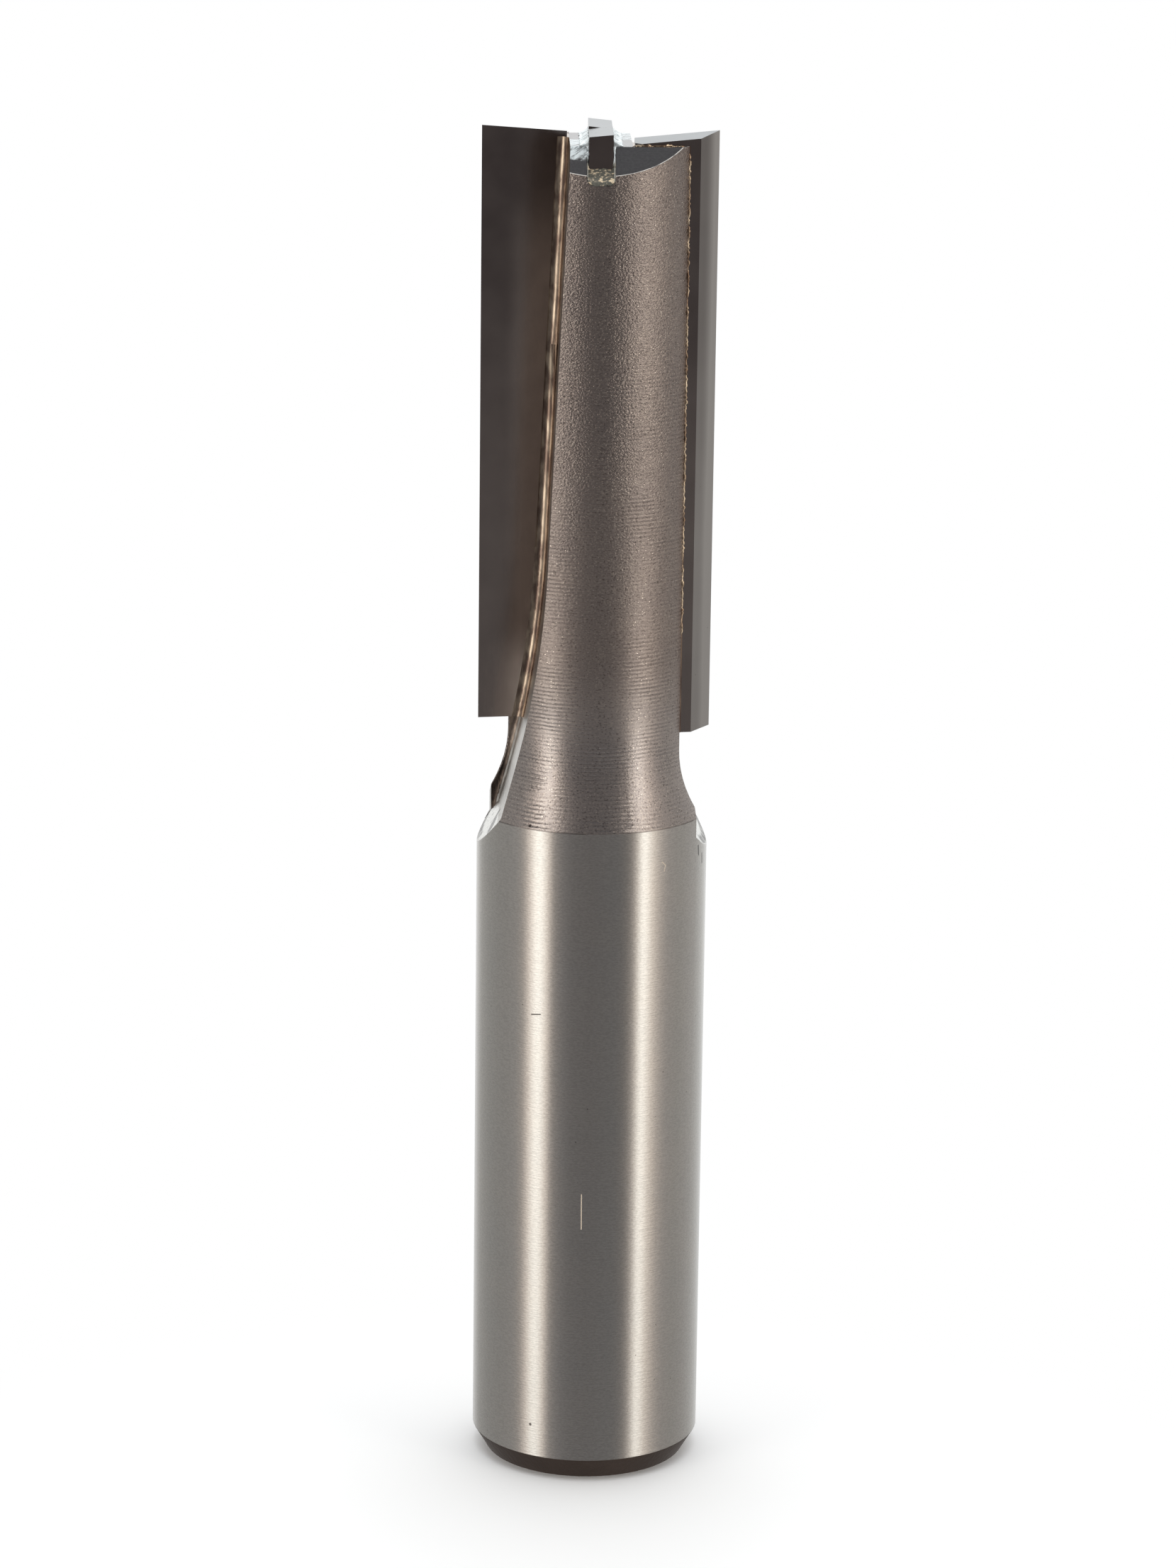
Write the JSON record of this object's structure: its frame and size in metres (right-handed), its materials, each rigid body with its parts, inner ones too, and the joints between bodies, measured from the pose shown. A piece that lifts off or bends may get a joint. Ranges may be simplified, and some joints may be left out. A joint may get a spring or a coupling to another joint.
{
  "type": "router bit",
  "caption": "Straight plunge router bit: round steel shank and fluted body with brazed carbide cutters and a carbide plunge tip.",
  "frame": {"origin": "centre of the shank's bottom face", "axes": "+Z along the axis from the shank to the cutting end, cutting edges on the +X and -X sides"},
  "size_m": [0.0126, 0.0126, 0.0747],
  "materials": {
    "steel": "ground and turned",
    "carbide": "fine ground",
    "braze": "rough"
  },
  "bodies": {
    "root": {"steel_body": "steel", "first_cutter": "carbide", "second_cutter": "carbide", "plunge_tip": "carbide", "first_cutter_braze": "braze", "second_cutter_braze": "braze", "plunge_tip_braze": "braze"}
  },
  "joints": []
}
